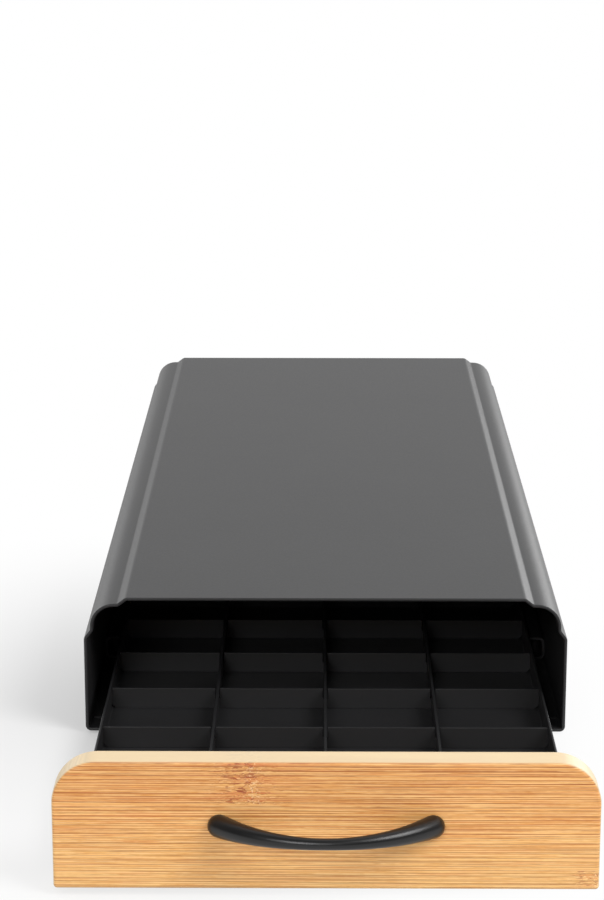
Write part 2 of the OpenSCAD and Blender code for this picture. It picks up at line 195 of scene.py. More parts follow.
def object_millimetres(tree):
    """Object coordinates, in millimetres."""
    place = node(tree, "ShaderNodeTexCoord").outputs["Object"]
    return node(
        tree, "ShaderNodeVectorMath", {0: place, 1: (1 / MM, 1 / MM, 1 / MM)}, operation="MULTIPLY"
    )


# Polyester powder coat on steel, cured in an oven. It flows into a satin skin with a faint
# orange peel: soft reflections, brighter at a glancing angle, over a near-black charcoal.
PEEL_MM = 1.1
COAT_CLOUD_MM = 35
COAT_SPECK_MM = 0.7
COAT_UNEVENNESS = 0.05


def powder_coat(name, dark, light, roughness, peel):
    material, tree, shader = new_material(name, IOR=1.4)
    place = object_millimetres(tree)
    cloud = node(
        tree, "ShaderNodeTexNoise", {"Vector": place, "Scale": 1 / COAT_CLOUD_MM, "Detail": 3}
    )
    tone = node(
        tree,
        "ShaderNodeMix",
        {"Factor": cloud, 6: linear(dark), 7: linear(light)},
        data_type="RGBA",
    )
    tree.links.new(tone.outputs[2], shader.inputs["Base Color"])
    speck = node(
        tree, "ShaderNodeTexNoise", {"Vector": place, "Scale": 1 / COAT_SPECK_MM, "Detail": 2}
    )
    satin = node(
        tree,
        "ShaderNodeMapRange",
        {
            "Value": speck,
            "To Min": roughness - COAT_UNEVENNESS,
            "To Max": roughness + COAT_UNEVENNESS,
        },
    )
    tree.links.new(satin.outputs[0], shader.inputs["Roughness"])
    skin = node(tree, "ShaderNodeTexNoise", {"Vector": place, "Scale": 1 / PEEL_MM, "Detail": 1})
    bump = node(
        tree, "ShaderNodeBump", {"Height": skin, "Strength": peel, "Distance": 0.02 * MM}
    )
    tree.links.new(bump.outputs[0], shader.inputs["Normal"])
    return material


charcoal_coat = powder_coat("charcoal_powder_coat", "#222223", "#282829", 0.46, 0.35)

inset = shoulder_step + shoulder_r
shell_right = [
    (shell_half_w - flange_w, 0, 0),
    (shell_half_w, 0, bottom_bend_r),
    (shell_half_w, shell_h - inset - shoulder_ramp, ramp_blend_r + shell_t),
    (shell_half_w - shoulder_step, shell_h - inset, ramp_blend_r),
    (shell_half_w - shoulder_step, shell_h - shoulder_step, shoulder_r - ramp_blend_r),
    (shell_half_w - inset, shell_h - shoulder_step, ramp_blend_r),
    (shell_half_w - inset - shoulder_ramp, shell_h, ramp_blend_r + shell_t),
]
shell_path = shell_right + [(-x, z, r) for x, z, r in reversed(shell_right)]
shell_path = [(x, z + shell_low.z, r) for x, z, r in shell_path]

housing_shell = wire("housing_shell_folded", shell_path)
apply_tree(
    housing_shell,
    bent_sheet,
    Steps=10,
    Start=shell_low.y,
    Length=shell_high.y - shell_low.y,
    Material=charcoal_coat,
)
gauge = housing_shell.modifiers.new("sheet gauge", "SOLIDIFY")
gauge.thickness = shell_t
gauge.offset = -1
gauge.use_even_offset = True
settle(housing_shell)
ease_edges(housing_shell, cut_edge_r, segments=4)
settle(housing_shell)
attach(housing_shell, "housing")
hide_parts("housing_shell")


# ---- Rear panel and base plate ----
# Plain steel sheets, spot welded inside the shell and coated with it: one closes the rear, the
# other lies on the flanges and carries the drawer.


def finish_node(name, material):
    """Gives a CAD node its finish."""
    for material_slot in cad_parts[name].material_slots:
        material_slot.material = material


for name in ("rear_panel", "base_plate"):
    finish_node(name, charcoal_coat)


# ---- Rails and stop pins ----
# Steel channels, welded in the lower corners of the shell. The pins are pressed through their
# lips, and the powder coat covers the lot.

for name in ("rail_left", "rail_right", "stop_pin_left", "stop_pin_right"):
    finish_node(name, charcoal_coat)


# ---- Glides and slide shoes ----
# Moulded in natural nylon. The glides' stems snap into holes of the base plate, and each shoe's
# stem is pressed into a hole of the tray's wall. The nylon is an ivory white that light enters
# a little, with a dull, waxy surface.

NYLON_CLOUD_MM = 10 / 3
nylon, tree, shader = new_material(
    "natural_nylon", Roughness=0.45, IOR=1.53, Subsurface_Weight=0.15, Subsurface_Scale=0.5 * MM
)
place = object_millimetres(tree)
cloud = node(
    tree, "ShaderNodeTexNoise", {"Vector": place, "Scale": 1 / NYLON_CLOUD_MM, "Detail": 3}
)
ivory = node(
    tree,
    "ShaderNodeMix",
    {"Factor": cloud, 6: linear("#dcdacb"), 7: linear("#e9e7dc")},
    data_type="RGBA",
)
tree.links.new(ivory.outputs[2], shader.inputs["Base Color"])
for name in ("front_glide_left", "front_glide_right", "slide_shoe_left", "slide_shoe_right"):
    finish_node(name, nylon)


# ---- Rear bumpers and feet ----
# Moulded rubber: the bumpers are glued to the rear panel, and the feet under the flanges. It is
# a matt black with a fine grit and a little grey bloom.

RUBBER_BLOOM_MM = 2.5
RUBBER_GRIT_MM = 0.4
rubber, tree, shader = new_material("black_rubber", Roughness=0.8, IOR=1.5)
place = object_millimetres(tree)
dust = node(
    tree, "ShaderNodeTexNoise", {"Vector": place, "Scale": 1 / RUBBER_BLOOM_MM, "Detail": 5}
)
bloom = node(
    tree,
    "ShaderNodeMix",
    {"Factor": dust, 6: linear("#141415"), 7: linear("#262627")},
    data_type="RGBA",
)
tree.links.new(bloom.outputs[2], shader.inputs["Base Color"])
grit = node(
    tree, "ShaderNodeTexNoise", {"Vector": place, "Scale": 1 / RUBBER_GRIT_MM, "Detail": 2}
)
grain = node(tree, "ShaderNodeBump", {"Height": grit, "Strength": 0.4, "Distance": 0.05 * MM})
tree.links.new(grain.outputs[0], shader.inputs["Normal"])
for name in ("rear_bumper_left", "rear_bumper_right"):
    finish_node(name, rubber)

rows_of, given = new_tree(
    "rows of pieces",
    Piece="Object",
    Count="Int",
    Step="Vector",
    Rows="Int",
    RowStep="Vector",
    First="Vector",
    Material="Material",
)
one = node(
    rows_of, "GeometryNodeObjectInfo", {"Object": given["Piece"]}, transform_space="ORIGINAL"
)
row = node(
    rows_of,
    "GeometryNodeMeshLine",
    {"Count": given["Count"], "Start Location": given["First"], "Offset": given["Step"]},
)
in_row = node(
    rows_of, "GeometryNodeInstanceOnPoints", {"Points": row, "Instance": one.outputs["Geometry"]}
)
column = node(
    rows_of, "GeometryNodeMeshLine", {"Count": given["Rows"], "Offset": given["RowStep"]}
)
in_rows = node(
    rows_of, "GeometryNodeInstanceOnPoints", {"Points": column, "Instance": in_row}
)
end_tree(rows_of, in_rows, given["Material"])


def in_rows_of(name, piece, material, first, count, step, rows=1, row_step=(0, 0, 0)):
    """Copies of the piece in rows, as one mesh. The piece itself goes."""
    group = add_object(name, bpy.data.meshes.new(name))
    apply_tree(
        group,
        rows_of,
        Piece=piece,
        Count=count,
        Step=step,
        Rows=rows,
        RowStep=row_step,
        First=first,
        Material=material,
    )
    settle(group)
    bpy.data.objects.remove(piece)
    return group


def turned(name, profile, axis="Z", steps=48):
    """A solid turned about Z from its profile (radius, height), or about Y."""
    shape = bmesh.new()
    turns = [math.tau * k / steps for k in range(steps)]
    rings = [
        [shape.verts.new((r * math.cos(a), r * math.sin(a), h)) for a in turns]
        for r, h in profile
    ]
    for low, high in zip(rings, rings[1:]):
        for k in range(steps):
            shape.faces.new((low[k - 1], low[k], high[k], high[k - 1]))
    bmesh.ops.remove_doubles(shape, verts=shape.verts, dist=0.001 * MM)
    bmesh.ops.recalc_face_normals(shape, faces=shape.faces)
    if axis == "Y":
        shape.transform(Matrix.Rotation(-math.pi / 2, 4, "X"))
    mesh = bpy.data.meshes.new(name)
    shape.to_mesh(mesh)
    shape.free()
    mesh.shade_smooth()
    mesh.set_sharp_from_angle(angle=math.radians(35))
    return add_object(name, mesh)


def arc(centre, radius, start, end, steps):
    """Points of an arc in the profile's plane, with its angles in degrees."""
    sweep = [math.radians(start + (end - start) * k / steps) for k in range(steps + 1)]
    return [(centre[0] + radius * math.cos(a), centre[1] + radius * math.sin(a)) for a in sweep]


foot_low, foot_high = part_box("foot_front_left")
foot_r = (foot_high.x - foot_low.x) / 2
foot_h = foot_high.z
foot_ease = 0.4 * MM
foot_cup_r = 3.2 * MM
foot_cup_depth = 0.3 * MM
foot_profile = (
    [(0, foot_cup_depth)]
    + [(foot_cup_r - foot_cup_depth, foot_cup_depth), (foot_cup_r, 0)]
    + arc((foot_r - foot_ease, foot_ease), foot_ease, -90, 0, 6)
    + [(foot_r, foot_h), (0, foot_h)]
)
last_foot_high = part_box("foot_rear_right")[1]
feet = in_rows_of(
    "rubber_feet",
    turned("foot", foot_profile),
    rubber,
    first=((foot_low.x + foot_high.x) / 2, (foot_low.y + foot_high.y) / 2, 0),
    count=2,
    step=(last_foot_high.x - foot_high.x, 0, 0),
    rows=2,
    row_step=(0, last_foot_high.y - foot_high.y, 0),
)
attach(feet, "housing")
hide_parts("foot_front_left", "foot_front_right", "foot_rear_left", "foot_rear_right")


# ---- Drawer tray ----
# One sheet of 0.8 mm steel, folded up on four sides, with a small relief at each corner. Its
# walls are slotted for the dividers' tabs. It has a black powder coat, a little smoother.

black_coat = powder_coat("black_powder_coat", "#212122", "#272728", 0.42, 0.3)
tray_low, tray_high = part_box("drawer_tray")
tray_t = 0.8 * MM
tray_bend_r = 1.4 * MM
tray_steps = 6
tray_size = tray_high - tray_low
tray_middle = (tray_low + tray_high) / 2
corner_gap = 0.12 * MM


def flap(shape, half_floor, half_across, wall_across, height):
    """A bend and a wall on the floor's edge at x = half_floor, as wide across as given."""
    bend = arc((half_floor, tray_bend_r), tray_bend_r, -90, 0, tray_steps)
    rows = [[shape.verts.new((x, y, z)) for y in (-half_across, half_across)] for x, z in bend]
    for lower, upper in zip(rows, rows[1:]):
        shape.faces.new((lower[0], upper[0], upper[1], lower[1]))
    x = half_floor + tray_bend_r
    edge = (-wall_across, -half_across, half_across, wall_across)
    foot = [shape.verts.new((x, y, tray_bend_r)) for y in edge]
    top = [shape.verts.new((x, y, height)) for y in edge]
    for k in range(3):
        shape.faces.new((foot[k], top[k], top[k + 1], foot[k + 1]))


shape = bmesh.new()
floor_x = tray_size.x / 2 - tray_bend_r
floor_y = tray_size.y / 2 - tray_bend_r
shape.faces.new(
    [
        shape.verts.new((x, y, 0))
        for x, y in (
            (-floor_x, -floor_y),
            (floor_x, -floor_y),
            (floor_x, floor_y),
            (-floor_x, floor_y),
        )
    ]
)
sides = (
    (0, floor_x, floor_y, tray_size.y / 2),
    (90, floor_y, floor_x, tray_size.x / 2 - tray_t - corner_gap),
)
for angle, half_floor, half_across, wall_across in sides:
    for turn in (angle, angle + 180):
        before = set(shape.verts)
        flap(shape, half_floor, half_across, wall_across, tray_size.z)
        bmesh.ops.rotate(
            shape,
            verts=[v for v in shape.verts if v not in before],
            cent=(0, 0, 0),
            matrix=Matrix.Rotation(math.radians(turn), 3, "Z"),
        )
bmesh.ops.remove_doubles(shape, verts=shape.verts, dist=0.001 * MM)
bmesh.ops.recalc_face_normals(shape, faces=shape.faces)
bmesh.ops.translate(shape, verts=shape.verts, vec=(tray_middle.x, tray_middle.y, tray_low.z))
mesh = bpy.data.meshes.new("drawer_tray_folded")
shape.to_mesh(mesh)
shape.free()
drawer_tray = add_object("drawer_tray_folded", mesh)
gauge = drawer_tray.modifiers.new("sheet gauge", "SOLIDIFY")
gauge.thickness = tray_t
gauge.offset = -1
gauge.use_even_offset = True
settle(drawer_tray)

cross_low, cross_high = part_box("cross_divider_1")
long_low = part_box("long_divider_1")[0]
cross_count = 8
long_count = 3
cross_last_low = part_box(f"cross_divider_{cross_count}")[0]
long_last_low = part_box(f"long_divider_{long_count}")[0]
divider_t = cross_high.y - cross_low.y
cross_pitch = (cross_last_low.y - cross_low.y) / (cross_count - 1)
long_pitch = (long_last_low.x - long_low.x) / (long_count - 1)
tab_h = 4 * MM
tab_gap = 0.1 * MM
tab_z = (cross_low.z + cross_high.z) / 2
slot_w = divider_t + 2 * tab_gap
slot_h = tab_h + 2 * tab_gap
past_walls = 2 * MM


def box_mesh(name, size):
    """A closed box about the origin."""
    shape = bmesh.new()
    bmesh.ops.create_cube(shape, size=1)
    bmesh.ops.scale(shape, verts=shape.verts, vec=size)
    mesh = bpy.data.meshes.new(name)
    shape.to_mesh(mesh)
    shape.free()
    return add_object(name, mesh)


def cut_away(piece, cutter):
    """Cuts the cutter's solids out of the piece. The cutter goes."""
    cut = piece.modifiers.new("cut", "BOOLEAN")
    cut.operation = "DIFFERENCE"
    cut.solver = "EXACT"
    cut.object = cutter
    settle(piece)
    bpy.data.objects.remove(cutter)


cut_away(
    drawer_tray,
    in_rows_of(
        "slots_for_cross_dividers",
        box_mesh("slot", (tray_size.x + past_walls, slot_w, slot_h)),
        None,
        first=(0, cross_low.y + divider_t / 2, tab_z),
        count=cross_count,
        step=(0, cross_pitch, 0),
    ),
)
cut_away(
    drawer_tray,
    in_rows_of(
        "slots_for_long_dividers",
        box_mesh("slot", (slot_w, tray_size.y + past_walls, slot_h)),
        None,
        first=(long_low.x + divider_t / 2, tray_middle.y, tab_z),
        count=long_count,
        step=(long_pitch, 0, 0),
    ),
)
ease_edges(drawer_tray, 0.15 * MM)
settle(drawer_tray, black_coat)
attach(drawer_tray, "drawer")
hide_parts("drawer_tray")


# ---- Dividers ----
# Strips blanked from 1 mm steel. They are half-lapped, the long ones notched from below and the
# cross ones from above, and their end tabs stand in the slots of the tray's walls.

notch_gap = 0.4 * MM
notch_w = divider_t + 2 * notch_gap
divider_h = cross_high.z - cross_low.z
inner_half_w = tray_size.x / 2 - tray_t
divider_edge_r = 0.14 * MM


def blanked(name, outline):
    """A strip of the dividers' gauge, cut to the outline (along, height), square to Y."""
    shape = bmesh.new()
    shape.faces.new([shape.verts.new((u, -divider_t / 2, h)) for u, h in outline])
    mesh = bpy.data.meshes.new(name)
    shape.to_mesh(mesh)
    shape.free()
    strip = add_object(name, mesh)
    gauge = strip.modifiers.new("sheet gauge", "SOLIDIFY")
    gauge.thickness = divider_t
    gauge.offset = -1 if mesh.polygons[0].normal.y < 0 else 1
    settle(strip)
    ease_edges(strip, divider_edge_r)
    return settle(strip)


def strip_outline(ends, notches, half_h, from_above, ease):
    """Outline of a strip from ends[0] to ends[1], with tabs, and notches at these places."""
    low, high = ends
    tab = tray_t
    half_tab = tab_h / 2

    def notched(side, places):
        points = []
        for place in places:
            edges = (place - notch_w / 2, place + notch_w / 2)
            first, second = edges if side < 0 else edges[::-1]
            points += [(first, side * half_h), (first, 0), (second, 0), (second, side * half_h)]
        return points

    under = [] if from_above else notched(-1, notches)
    over = notched(1, notches[::-1]) if from_above else []
    return (
        [(low + ease, -half_h)]
        + under
        + [(high - ease, -half_h), (high, -half_h + ease), (high, -half_tab)]
        + [(high + tab, -half_tab), (high + tab, half_tab), (high, half_tab), (high, half_h)]
        + over
        + [(low, half_h), (low, half_tab), (low - tab, half_tab), (low - tab, -half_tab)]
        + [(low, -half_tab), (low, -half_h + ease)]
    )


long_places = [long_low.x + divider_t / 2 + k * long_pitch for k in range(long_count)]
cross_places = [cross_low.y + divider_t / 2 + k * cross_pitch for k in range(cross_count)]
inner_y = (tray_low.y + tray_t, tray_high.y - tray_t)

cross_strip = blanked(
    "cross_strip",
    strip_outline((-inner_half_w, inner_half_w), long_places, divider_h / 2, True, tray_bend_r),
)
cross_dividers = in_rows_of(
    "cross_divider_strips",
    cross_strip,
    black_coat,
    first=(0, cross_places[0], tab_z),
    count=cross_count,
    step=(0, cross_pitch, 0),
)
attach(cross_dividers, "drawer")
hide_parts(*(f"cross_divider_{k}" for k in range(1, cross_count + 1)))

long_strip = blanked(
    "long_strip", strip_outline(inner_y, cross_places, divider_h / 2, False, tray_bend_r)
)
long_strip.data.transform(Matrix.Rotation(math.pi / 2, 4, "Z"))
long_dividers = in_rows_of(
    "long_divider_strips",
    long_strip,
    black_coat,
    first=(long_places[0], 0, tab_z),
    count=long_count,
    step=(long_pitch, 0, 0),
)
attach(long_dividers, "drawer")
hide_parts(*(f"long_divider_{k}" for k in range(1, long_count + 1)))


# ---- Drawer front ----
# A board of three laminated bamboo strips, sawn to shape with large upper corners, its edges
# sanded round, and oiled. It is screwed to the front of the tray.

front_low, front_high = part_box("drawer_front")
front_size = front_high - front_low
front_corner_r = 14 * MM
front_foot_r = 1.2 * MM
sanded_r = 1.1 * MM
strips_n = 3
strip_h = front_size.z / strips_n / MM

# Bamboo, split into strips, boiled, pressed and glued. Hair-thin fibre bundles run straight
# along each strip, honey brown on pale straw, and gather into flecked knots at the cane's joints.
# Each knot, in mm: its X and Z on the board, its width, and half of how tall it is.
KNOTS = ((-22.6, 37.7, 2.6, 7.0), (84.0, 6.0, 1.6, 3.0))
WAVE_MM = 60

bamboo, tree, shader = new_material("laminated_bamboo", Roughness=0.48, IOR=1.48)
place = object_millimetres(tree)
axes = node(tree, "ShaderNodeSeparateXYZ", {0: place}).outputs

# Each strip leans a little, and comes from a stretch of cane of its own.
lift = node(tree, "ShaderNodeMath", {0: axes["Z"], 1: front_low.z / MM}, operation="SUBTRACT")
strips_up = node(tree, "ShaderNodeMath", {0: lift, 1: strip_h}, operation="DIVIDE")
strips_below = node(tree, "ShaderNodeMath", {0: strips_up}, operation="FLOOR")
strip_no = node(tree, "ShaderNodeMath", {0: strips_below, 1: strips_n - 1.0}, operation="MINIMUM")
strip_seed = node(tree, "ShaderNodeMath", {0: strip_no, 1: 7.3}, operation="ADD")
strip_random = node(tree, "ShaderNodeTexWhiteNoise", {"W": strip_seed}, noise_dimensions="1D")
own_x = node(
    tree, "ShaderNodeMath", {0: strip_random, 1: 400.0, 2: axes["X"]}, operation="MULTIPLY_ADD"
)
slope = node(
    tree, "ShaderNodeMath", {0: strip_random, 1: 0.008, 2: -0.004}, operation="MULTIPLY_ADD"
)
wave = node(tree, "ShaderNodeTexNoise", {"Vector": place, "Scale": 1 / WAVE_MM, "Detail": 0})
waved_z = node(tree, "ShaderNodeMath", {0: wave, 1: 0.5, 2: axes["Z"]}, operation="MULTIPLY_ADD")
bowed_z = node(
    tree, "ShaderNodeMath", {0: axes["X"], 1: slope, 2: waved_z}, operation="MULTIPLY_ADD"
)


def near_knots(reach, shift=0.0):
    """1 at the strips' knots or beside them, falling off over this many times their width."""
    nearness = 0.0
    for knot_x, knot_z, knot_w, half_height in KNOTS:
        middle = knot_x + shift * knot_w
        off = node(tree, "ShaderNodeMath", {0: axes["X"], 1: middle}, operation="SUBTRACT")
        far = node(tree, "ShaderNodeMath", {0: off, 1: knot_w * reach}, operation="DIVIDE")
        squared = node(tree, "ShaderNodeMath", {0: far, 1: far}, operation="MULTIPLY")
        bell = node(tree, "ShaderNodeMath", {0: 1 / math.e, 1: squared}, operation="POWER")
        here = node(
            tree, "ShaderNodeMath", {0: axes["Z"], 1: knot_z, 2: half_height}, operation="COMPARE"
        )
        knot = node(tree, "ShaderNodeMath", {0: bell, 1: here}, operation="MULTIPLY")
        nearness = node(tree, "ShaderNodeMath", {0: knot, 1: nearness}, operation="MAXIMUM")
    return nearness


def fleck_noise(length_mm, height_mm):
    """Noise in crooked flecks of this size."""
    scale = (1 / length_mm, 1 / height_mm, 1 / height_mm)
    scaled = node(tree, "ShaderNodeVectorMath", {0: place, 1: scale}, operation="MULTIPLY")
    settings = {"Vector": scaled, "Scale": 1.0, "Detail": 2, "Distortion": 0.9}
    return node(tree, "ShaderNodeTexNoise", settings)


around = near_knots(3.6, -0.8)
flecks = fleck_noise(3.0, 0.8)
chips = fleck_noise(1.0, 0.7)
swing = node(tree, "ShaderNodeMath", {0: flecks, 1: 2.0, 2: -1.0}, operation="MULTIPLY_ADD")
pinched_z = node(
    tree, "ShaderNodeMath", {0: around, 1: swing, 2: bowed_z}, operation="MULTIPLY_ADD"
)
cane = node(tree, "ShaderNodeCombineXYZ", {"X": own_x, "Y": axes["Y"], "Z": pinched_z})


def fibres(length_mm, height_mm, detail, shift=0.0):
    """Noise drawn out along the strip, for bundles of about this length and height."""
    scale = (1 / length_mm, 0.2 / height_mm, 1 / height_mm)
    stretched = node(
        tree,
        "ShaderNodeVectorMath",
        {0: cane, 1: scale, 2: (0, shift, 0)},
        operation="MULTIPLY_ADD",
    )
    settings = {"Vector": stretched, "Scale": 1.0, "Detail": detail, "Roughness": 0.55}
    return node(tree, "ShaderNodeTexNoise", settings)


uneven_z = node(
    tree,
    "ShaderNodeMath",
    {0: fibres(260, 1.5, 0, 3.0), 1: 0.5, 2: pinched_z},
    operation="MULTIPLY_ADD",
)


def lines(spacing_mm, width_mm, length_mm, amount, strength, shift=0.0):
    """Thin lines along the fibres, which come and go over the length."""
    rows = node(
        tree,
        "ShaderNodeMath",
        {0: uneven_z, 1: 1 / spacing_mm, 2: shift},
        operation="MULTIPLY_ADD",
    )
    row = node(tree, "ShaderNodeMath", {0: rows}, operation="FLOOR")
    own = node(tree, "ShaderNodeTexWhiteNoise", {"W": row}, noise_dimensions="1D")
    middle = node(tree, "ShaderNodeMath", {0: own, 1: 0.3, 2: 0.35}, operation="MULTIPLY_ADD")
    up_row = node(tree, "ShaderNodeMath", {0: rows}, operation="FRACT")
    beside = node(tree, "ShaderNodeMath", {0: up_row, 1: middle}, operation="SUBTRACT")
    off = node(tree, "ShaderNodeMath", {0: beside}, operation="ABSOLUTE")
    half_width = width_mm / spacing_mm / 2
    thin = node(
        tree, "ShaderNodeMapRange", {0: off, "From Max": half_width, "To Min": 1.0, "To Max": 0.0}
    )
    lengths = node(tree, "ShaderNodeMath", {0: own_x, 1: length_mm}, operation="DIVIDE")
    along = node(tree, "ShaderNodeMath", {0: own, 1: 1000.0, 2: lengths}, operation="MULTIPLY_ADD")
    level = node(
        tree,
        "ShaderNodeTexNoise",
        {"W": along, "Scale": 1.0, "Detail": 4, "Roughness": 0.7},
        noise_dimensions="1D",
    )
    there = node(
        tree,
        "ShaderNodeMapRange",
        {
            0: level,
            "From Min": 0.68 - amount,
            "From Max": 0.72 - amount / 2,
            "To Max": strength,
        },
    )
    return node(tree, "ShaderNodeMath", {0: thin, 1: there}, operation="MULTIPLY")


def where_both(noise, low, high, strength, mask):
    """The noise's peaks, from low to high on it, kept where the mask is."""
    peaks = node(
        tree,
        "ShaderNodeMapRange",
        {0: noise, "From Min": low, "From Max": high, "To Max": strength},
    )
    return node(tree, "ShaderNodeMath", {0: peaks, 1: mask}, operation="MULTIPLY")


tone = node(
    tree,
    "ShaderNodeMath",
    {0: fibres(2.6, 0.35, 1, 11.0), 1: 0.3, 2: fibres(75, 1.1, 3)},
    operation="MULTIPLY_ADD",
)
straw = node(tree, "ShaderNodeValToRGB", {0: tone})
straw_stops = straw.color_ramp.elements
straw_stops.new(0.5)
for stop, (at, colour) in zip(
    straw_stops, ((0.5, "#d49751"), (0.65, "#e0a75f"), (0.8, "#ebb871"))
):
    stop.position = at
    stop.color = linear(colour)

# Over the straw lie brown, pale and dark lines, warm streaks, and the knots' flecks and chips.
pale = lines(0.7, 0.45, 26, 0.34, 0.85, shift=0.5)
long_dark = lines(1.5, 0.46, 110, 0.35, 0.85, shift=0.2)
short_dark = lines(1.1, 0.42, 45, 0.28, 0.85, shift=0.7)
dark = node(tree, "ShaderNodeMath", {0: long_dark, 1: short_dark}, operation="MAXIMUM")
warmth = node(tree, "ShaderNodeMath", {0: around, 1: 0.6, 2: 0.3}, operation="MULTIPLY_ADD")
layers = (
    (lines(0.62, 0.45, 45, 0.4, 0.72), "#ba7132"),
    (pale, "#f3cd93"),
    (dark, "#904816"),
    (where_both(fibres(24, 0.5, 2, 41.0), 0.53, 0.64, 1.0, warmth), "#cf7a42"),
    (where_both(flecks, 0.54, 0.62, 0.95, near_knots(2.3, -1.3)), "#994521"),
    (where_both(chips, 0.57, 0.63, 0.75, near_knots(0.9, 0.1)), "#f4d3a4"),
)
grown = straw
for cover, colour in layers:
    grown = node(
        tree, "ShaderNodeMix", {0: cover, 6: grown, 7: linear(colour)}, data_type="RGBA"
    )

# Painted light: the tone is painted paler towards the bottom, as if lit by the white floor,
# and painted deeper in the upper half as shade.
board_h = front_size.z / MM
shade_up_share = node(
    tree, "ShaderNodeMapRange", {0: lift, "From Min": board_h / 2, "From Max": board_h}
)
floor_light_share = node(
    tree,
    "ShaderNodeMapRange",
    {0: lift, "From Min": board_h / 2, "From Max": 0.0, "To Max": 0.18},
)
painted_upper_shade = node(
    tree,
    "ShaderNodeMix",
    {0: shade_up_share, 6: grown, 7: linear("#f2e8df")},
    data_type="RGBA",
    blend_type="MULTIPLY",
)
painted_floor_light = node(
    tree, "ShaderNodeMix", {0: floor_light_share, 6: painted_upper_shade, 7: linear("#f3dc9a")}, data_type="RGBA"
)

# The sawn and sanded edges cut across the fibres, and are paler than the face.
# Part of that paleness is painted light: it lifts the rounded bottom edge, which faces the shaded
# floor.
surface = node(tree, "ShaderNodeNewGeometry")
facing = node(tree, "ShaderNodeSeparateXYZ", {0: surface.outputs["Normal"]})
face_on = node(tree, "ShaderNodeMath", {0: facing.outputs["Y"]}, operation="ABSOLUTE")
sanded_and_lit = node(
    tree, "ShaderNodeMapRange", {0: face_on, "From Min": 0.8, "From Max": 0.4, "To Max": 0.8}
)
paled_and_lit = node(
    tree, "ShaderNodeMix", {0: sanded_and_lit, 6: painted_floor_light, 7: linear("#d3c4a1")}, data_type="RGBA"
)
tree.links.new(paled_and_lit.outputs[2], shader.inputs["Base Color"])
pores = node(tree, "ShaderNodeBump", {"Height": pale, "Strength": 0.2, "Distance": 0.047 * MM})
tree.links.new(pores.outputs[0], shader.inputs["Normal"])


def rounded(corners, steps):
    """A closed outline through corners (x, z, radius)."""
    points = []
    for k, (x, z, radius) in enumerate(corners):
        corner = Vector((x, z))
        before = (Vector(corners[k - 1][:2]) - corner).normalized()
        after = (Vector(corners[(k + 1) % len(corners)][:2]) - corner).normalized()
        middle = (before + after).normalized()
        half = before.angle(after) / 2
        centre = corner + middle * radius / math.sin(half)
        start = corner + before * radius / math.tan(half) - centre
        end = corner + after * radius / math.tan(half) - centre
        sweep = start.angle_signed(end)
        for step in range(steps + 1):
            angle = -sweep * step / steps
            points.append(centre + Matrix.Rotation(angle, 2) @ start)
    return points


half_front = front_size.x / 2
board_outline = rounded(
    [
        (half_front, front_low.z, front_foot_r),
        (half_front, front_high.z, front_corner_r),
        (-half_front, front_high.z, front_corner_r),
        (-half_front, front_low.z, front_foot_r),
    ],
    16,
)
shape = bmesh.new()
shape.faces.new([shape.verts.new((p.x, front_low.y, p.y)) for p in board_outline])
mesh = bpy.data.meshes.new("bamboo_front")
shape.to_mesh(mesh)
shape.free()
bamboo_front = add_object("bamboo_front", mesh)
gauge = bamboo_front.modifiers.new("board", "SOLIDIFY")
gauge.thickness = front_size.y
gauge.offset = -1 if mesh.polygons[0].normal.y < 0 else 1
settle(bamboo_front)
ease_edges(bamboo_front, sanded_r, segments=4, angle=50)
settle(bamboo_front, bamboo)
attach(bamboo_front, "drawer")
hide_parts("drawer_front")


# ---- Handle ----
# A bow handle, cast in zinc alloy and lacquered satin black. It is thick and round at its ends,
# thins towards the middle of the bow, and is screwed on from behind.

handle_low, handle_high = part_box("handle")
handle_half = 33 * MM
handle_foot_r = (handle_high.z - handle_low.z) / 2
handle_mid_r = 1.8 * MM
handle_seat = 0.6 * MM
handle_taper = 1.75
ball_share = 0.25
ball_turn = math.radians(85)
bow_depth = handle_high.y - handle_low.y - handle_mid_r - handle_seat
bow_r = (handle_half**2 + bow_depth**2) / (2 * bow_depth)
bow_half_angle = math.atan2(handle_half, bow_r - bow_depth)

# Lacquer over a smooth casting gives long, soft highlights on a deep black.
LACQUER_FLOW_MM = 2
lacquer, tree, shader = new_material(
    "satin_black_lacquer", IOR=1.52, Base_Color=linear("#060607")
)
place = object_millimetres(tree)
flow = node(
    tree, "ShaderNodeTexNoise", {"Vector": place, "Scale": 1 / LACQUER_FLOW_MM, "Detail": 3}
)
satin = node(tree, "ShaderNodeMapRange", {"Value": flow, "To Min": 0.3, "To Max": 0.36})
tree.links.new(satin.outputs[0], shader.inputs["Roughness"])

# The bar follows an arc that ends just in front of the wood, and goes on as a ball.
bow, given = new_tree(
    "bow handle",
    BowRadius="Float",
    HalfAngle="Float",
    Seat="Float",
    FootRadius="Float",
    MiddleRadius="Float",
    Rings="Int",
    Place="Vector",
    Material="Material",
)
line = node(bow, "GeometryNodeMeshLine", {"Count": given["Rings"], "Offset": (1.0, 0.0, 0.0)})
index = node(bow, "GeometryNodeInputIndex")
last_ring = node(bow, "ShaderNodeMath", {0: given["Rings"], 1: 1.0}, operation="SUBTRACT")
share = node(bow, "ShaderNodeMath", {0: index, 1: last_ring}, operation="DIVIDE")
along = node(
    bow,
    "ShaderNodeMath",
    {0: share, 1: 2 * (1 + ball_share), 2: -1 - ball_share},
    operation="MULTIPLY_ADD",
)
on_arc = node(bow, "ShaderNodeClamp", {"Value": along, "Min": -1.0, "Max": 1.0})
angle = node(bow, "ShaderNodeMath", {0: on_arc, 1: given["HalfAngle"]}, operation="MULTIPLY")
sine = node(bow, "ShaderNodeMath", {0: angle}, operation="SINE")
cosine = node(bow, "ShaderNodeMath", {0: angle}, operation="COSINE")
